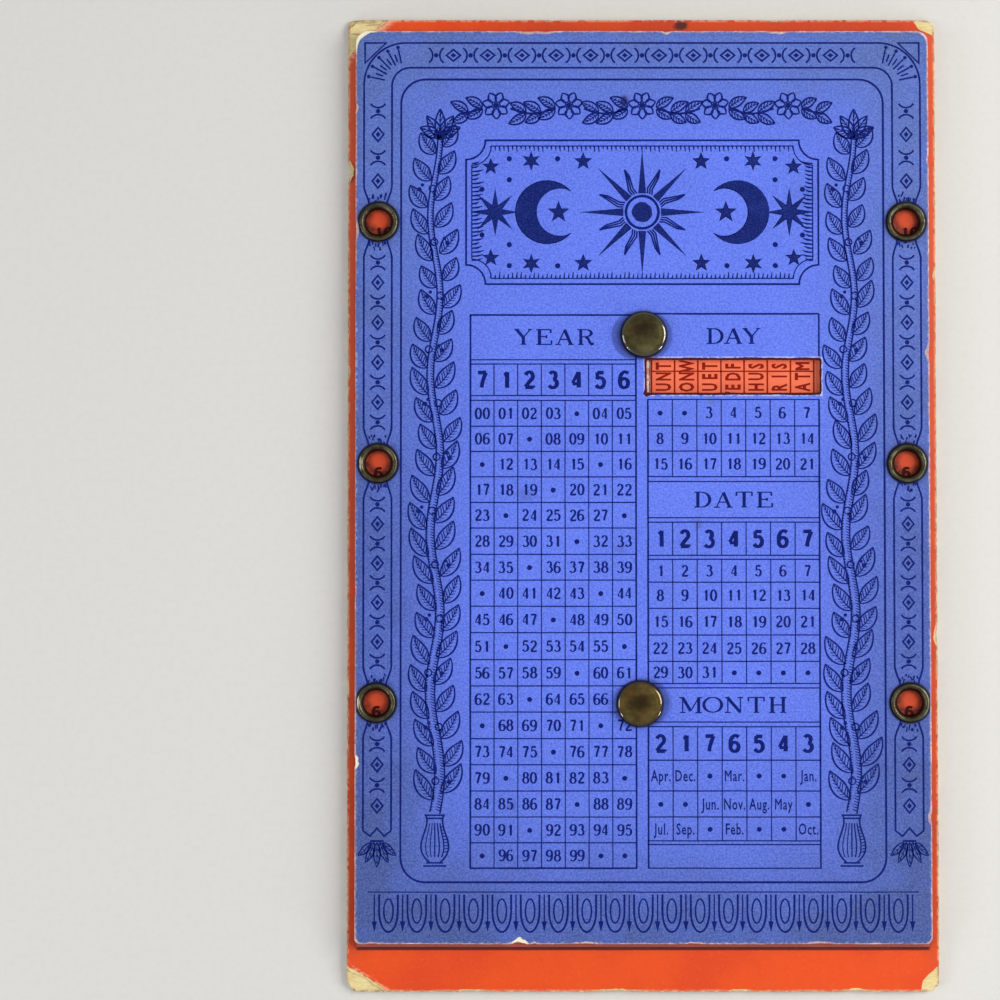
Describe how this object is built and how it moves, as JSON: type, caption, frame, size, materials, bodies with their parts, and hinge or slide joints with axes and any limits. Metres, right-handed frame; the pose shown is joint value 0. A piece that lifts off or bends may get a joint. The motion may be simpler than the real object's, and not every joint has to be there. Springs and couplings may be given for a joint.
{
  "type": "perpetual desk calendar",
  "caption": "Flat perpetual calendar of pasted cards: a printed front card with a weekday window and eyelet peepholes, a card sliding behind it and a back card, pinned by brass studs.",
  "frame": {"origin": "on the resting plane under the middle of the back card", "axes": "+X across the cards to the reader's right, +Y up the cards, +Z out of the printed face"},
  "size_m": [0.134, 0.221, 0.0062],
  "materials": {
    "back_board": "matte",
    "back_face": "satin",
    "back_lining": "matte",
    "slide_board": "matte",
    "slide_face": "satin",
    "front_board": "matte",
    "front_face": "satin",
    "front_lining": "matte",
    "eyelet_brass": "satin",
    "cap_brass": "satin",
    "pin_brass": "satin"
  },
  "bodies": {
    "cards": {"back_lining_sheet": "back_lining", "back_board": "back_board", "back_face_sheet": "back_face", "front_lining_sheet": "front_lining", "front_board": "front_board", "front_face_sheet": "front_face", "left_upper_eyelet": "eyelet_brass", "left_middle_eyelet": "eyelet_brass", "left_lower_eyelet": "eyelet_brass", "right_upper_eyelet": "eyelet_brass", "right_middle_eyelet": "eyelet_brass", "right_lower_eyelet": "eyelet_brass", "upper_stud_cap": "cap_brass", "upper_split_pin": "pin_brass", "upper_rear_washer": "pin_brass", "lower_stud_cap": "cap_brass", "lower_split_pin": "pin_brass", "lower_rear_washer": "pin_brass"},
    "slide": {"slide_board": "slide_board", "slide_face_sheet": "slide_face"}
  },
  "joints": [
    {"name": "slide_travel", "type": "slide", "parent": "cards", "child": "slide", "axis": [0, 1, 0], "range_m": [-0.0048, 0.0384]}
  ]
}
